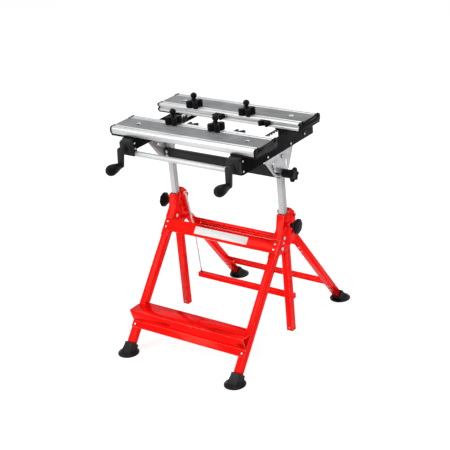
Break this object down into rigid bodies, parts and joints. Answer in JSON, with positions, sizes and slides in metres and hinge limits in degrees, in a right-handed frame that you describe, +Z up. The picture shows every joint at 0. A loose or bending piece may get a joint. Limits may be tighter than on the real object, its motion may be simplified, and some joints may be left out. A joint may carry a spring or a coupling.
{
  "type": "clamping workbench",
  "caption": "Folding height-adjustable workbench with two aluminium clamping jaws on a tilting table, crank spindles, dogs, vee blocks, foot release bar and a low shelf.",
  "frame": {"origin": "on the floor, midway between the front and rear feet and between the two sides", "axes": "+Z up, +X to the user's right facing the bench, +Y from the cranks towards the rear jaw"},
  "size_m": [0.626, 0.804, 0.8936],
  "materials": {
    "red_paint": "gloss powder coat over steel sheet and tube",
    "black_paint": "satin black powder coat over steel",
    "black_plastic": "moulded black plastic, fine grain",
    "zinc_steel": "bright zinc plated steel",
    "grey_paint": "light grey painted square tube",
    "aluminium": "satin extruded aluminium",
    "grey_inlay": "dark grey matt inlay panel"
  },
  "bodies": {
    "base": {"left_pylon": "red_paint", "right_pylon": "red_paint", "sleeves": "red_paint", "front_legs": "red_paint", "front_feet": "black_plastic", "front_crossbar": "red_paint", "shelf": "red_paint", "frame_bolts": "zinc_steel", "tube_guides": "black_plastic"},
    "rear_frame": {"rear_legs": "red_paint", "rear_feet": "black_plastic", "rear_upper_bar": "red_paint", "rear_lower_bar": "red_paint", "rear_leg_rivets": "zinc_steel"},
    "lift": {"lift_tubes": "grey_paint", "cross_beam": "black_paint", "lift_bolts": "zinc_steel"},
    "table": {"left_rail": "black_paint", "right_rail": "black_paint", "tilt_plates": "zinc_steel", "front_tube": "zinc_steel", "end_blocks": "black_plastic", "racks": "zinc_steel", "table_bolts": "zinc_steel"},
    "front_clamp": {"front_jaw": "aluminium", "front_jaw_inlay": "grey_inlay", "front_jaw_caps": "black_plastic", "front_jaw_shoes": "black_plastic", "spindle_nuts": "black_plastic"},
    "rear_clamp": {"rear_jaw": "aluminium", "rear_jaw_inlay": "grey_inlay", "rear_jaw_caps": "black_plastic", "rear_jaw_shoes": "black_plastic", "rack_catches": "black_plastic"},
    "left_winder": {"left_spindle": "zinc_steel", "left_crank": "black_paint"},
    "right_winder": {"right_spindle": "zinc_steel", "right_crank": "black_paint"},
    "left_hand_grip": {"left_grip": "black_plastic"},
    "right_hand_grip": {"right_grip": "black_plastic"},
    "tilt_clamp": {"tilt_knob": "black_plastic"},
    "left_height_clamp": {"left_height_knob": "black_plastic"},
    "right_height_clamp": {"right_height_knob": "black_plastic"},
    "left_pawl_lever": {"left_pawl": "red_paint"},
    "right_pawl_lever": {"right_pawl": "red_paint"},
    "release": {"release_bar": "red_paint", "release_rods": "zinc_steel"},
    "front_left_dog_slider": {"front_left_dog": "black_plastic"},
    "front_left_dog_knob": {"front_left_dog_screw": "black_plastic"},
    "front_left_vee_slider": {"front_left_vee_block": "black_plastic"},
    "front_right_dog_slider": {"front_right_dog": "black_plastic"},
    "front_right_dog_knob": {"front_right_dog_screw": "black_plastic"},
    "front_right_vee_slider": {"front_right_vee_block": "black_plastic"},
    "rear_left_dog_slider": {"rear_left_dog": "black_plastic"},
    "rear_left_dog_knob": {"rear_left_dog_screw": "black_plastic"},
    "rear_left_vee_slider": {"rear_left_vee_block": "black_plastic"},
    "rear_right_dog_slider": {"rear_right_dog": "black_plastic"},
    "rear_right_dog_knob": {"rear_right_dog_screw": "black_plastic"},
    "rear_right_vee_slider": {"rear_right_vee_block": "black_plastic"}
  },
  "joints": [
    {"name": "height_slide", "type": "slide", "parent": "base", "child": "lift", "axis": [0, 0, 1], "range_m": [-0.1, 0.08]},
    {"name": "table_tilt", "type": "hinge", "parent": "lift", "child": "table", "pos_m": [0, 0.01, 0.726], "axis": [1, 0, 0], "range_deg": [0, 70]},
    {"name": "rear_leg_fold", "type": "hinge", "parent": "base", "child": "rear_frame", "pos_m": [0, 0.046, 0.421], "axis": [1, 0, 0], "range_deg": [-27, 0]},
    {"name": "left_winder_turn", "type": "hinge", "parent": "table", "child": "left_winder", "pos_m": [-0.233, 0, 0.774], "axis": [0, 1, 0], "range_deg": [0, 7920]},
    {"name": "right_winder_turn", "type": "hinge", "parent": "table", "child": "right_winder", "pos_m": [0.233, 0, 0.774], "axis": [0, 1, 0], "range_deg": [0, 7920]},
    {"name": "front_jaw_slide", "type": "slide", "parent": "table", "child": "front_clamp", "axis": [0, 1, 0], "range_m": [0, 0.088]},
    {"name": "rear_jaw_step", "type": "slide", "parent": "table", "child": "rear_clamp", "axis": [0, 1, 0], "range_m": [-0.0785, 0]},
    {"name": "left_grip_spin", "type": "hinge", "parent": "left_winder", "child": "left_hand_grip", "pos_m": [-0.23983, -0.33, 0.71842], "axis": [0, 1, 0], "continuous": true},
    {"name": "right_grip_spin", "type": "hinge", "parent": "right_winder", "child": "right_hand_grip", "pos_m": [0.22909, -0.33, 0.71814], "axis": [0, 1, 0], "continuous": true},
    {"name": "tilt_knob_turn", "type": "hinge", "parent": "lift", "child": "tilt_clamp", "pos_m": [0.28, 0.01, 0.662], "axis": [1, 0, 0], "range_deg": [0, 720]},
    {"name": "left_height_knob_turn", "type": "hinge", "parent": "base", "child": "left_height_clamp", "pos_m": [-0.28, 0.01, 0.465], "axis": [-1, 0, 0], "range_deg": [0, 720]},
    {"name": "right_height_knob_turn", "type": "hinge", "parent": "base", "child": "right_height_clamp", "pos_m": [0.28, 0.01, 0.465], "axis": [1, 0, 0], "range_deg": [0, 720]},
    {"name": "release_press", "type": "slide", "parent": "base", "child": "release", "axis": [0, 0, 1], "range_m": [-0.008, 0], "stiffness_N_per_m": 1500, "springref_m": 0.015},
    {"name": "left_pawl_swing", "type": "hinge", "parent": "base", "child": "left_pawl_lever", "pos_m": [0, 0.0565, 0.484], "axis": [1, 0, 0], "range_deg": [0, 16.7]},
    {"name": "right_pawl_swing", "type": "hinge", "parent": "base", "child": "right_pawl_lever", "pos_m": [0, 0.0565, 0.484], "axis": [1, 0, 0], "range_deg": [0, 16.7]},
    {"name": "front_left_dog_slide", "type": "slide", "parent": "front_clamp", "child": "front_left_dog_slider", "axis": [1, 0, 0], "range_m": [-0.1695, 0.0665]},
    {"name": "front_left_dog_screw_turn", "type": "hinge", "parent": "front_left_dog_slider", "child": "front_left_dog_knob", "pos_m": [-0.112, -0.1134, 0.87], "axis": [0, 0, 1], "range_deg": [0, 720]},
    {"name": "front_left_vee_slide", "type": "slide", "parent": "front_clamp", "child": "front_left_vee_slider", "axis": [1, 0, 0], "range_m": [-0.1295, 0.079]},
    {"name": "front_right_dog_slide", "type": "slide", "parent": "front_clamp", "child": "front_right_dog_slider", "axis": [1, 0, 0], "range_m": [-0.0665, 0.2075]},
    {"name": "front_right_dog_screw_turn", "type": "hinge", "parent": "front_right_dog_slider", "child": "front_right_dog_knob", "pos_m": [0.074, -0.1134, 0.87], "axis": [0, 0, 1], "range_deg": [0, 720]},
    {"name": "front_right_vee_slide", "type": "slide", "parent": "front_clamp", "child": "front_right_vee_slider", "axis": [1, 0, 0], "range_m": [-0.079, 0.0325]},
    {"name": "rear_left_dog_slide", "type": "slide", "parent": "rear_clamp", "child": "rear_left_dog_slider", "axis": [1, 0, 0], "range_m": [-0.1305, 0.09]},
    {"name": "rear_left_dog_screw_turn", "type": "hinge", "parent": "rear_left_dog_slider", "child": "rear_left_dog_knob", "pos_m": [-0.151, 0.0626, 0.87], "axis": [0, 0, 1], "range_deg": [0, 720]},
    {"name": "rear_left_vee_slide", "type": "slide", "parent": "rear_clamp", "child": "rear_left_vee_slider", "axis": [1, 0, 0], "range_m": [-0.1565, 0.0775]},
    {"name": "rear_right_dog_slide", "type": "slide", "parent": "rear_clamp", "child": "rear_right_dog_slider", "axis": [1, 0, 0], "range_m": [-0.09, 0.1995]},
    {"name": "rear_right_dog_screw_turn", "type": "hinge", "parent": "rear_right_dog_slider", "child": "rear_right_dog_knob", "pos_m": [0.082, 0.0626, 0.87], "axis": [0, 0, 1], "range_deg": [0, 720]},
    {"name": "rear_right_vee_slide", "type": "slide", "parent": "rear_clamp", "child": "rear_right_vee_slider", "axis": [1, 0, 0], "range_m": [-0.0775, 0.0085]}
  ],
  "couplings": [
    {"joint": "right_winder_turn", "follows": "left_winder_turn", "ratio": 1},
    {"joint": "front_jaw_slide", "follows": "left_winder_turn", "m_per_rad": 0.00063662},
    {"joint": "left_pawl_swing", "follows": "release_press", "rad_per_m": -36.364},
    {"joint": "right_pawl_swing", "follows": "release_press", "rad_per_m": -36.364}
  ]
}
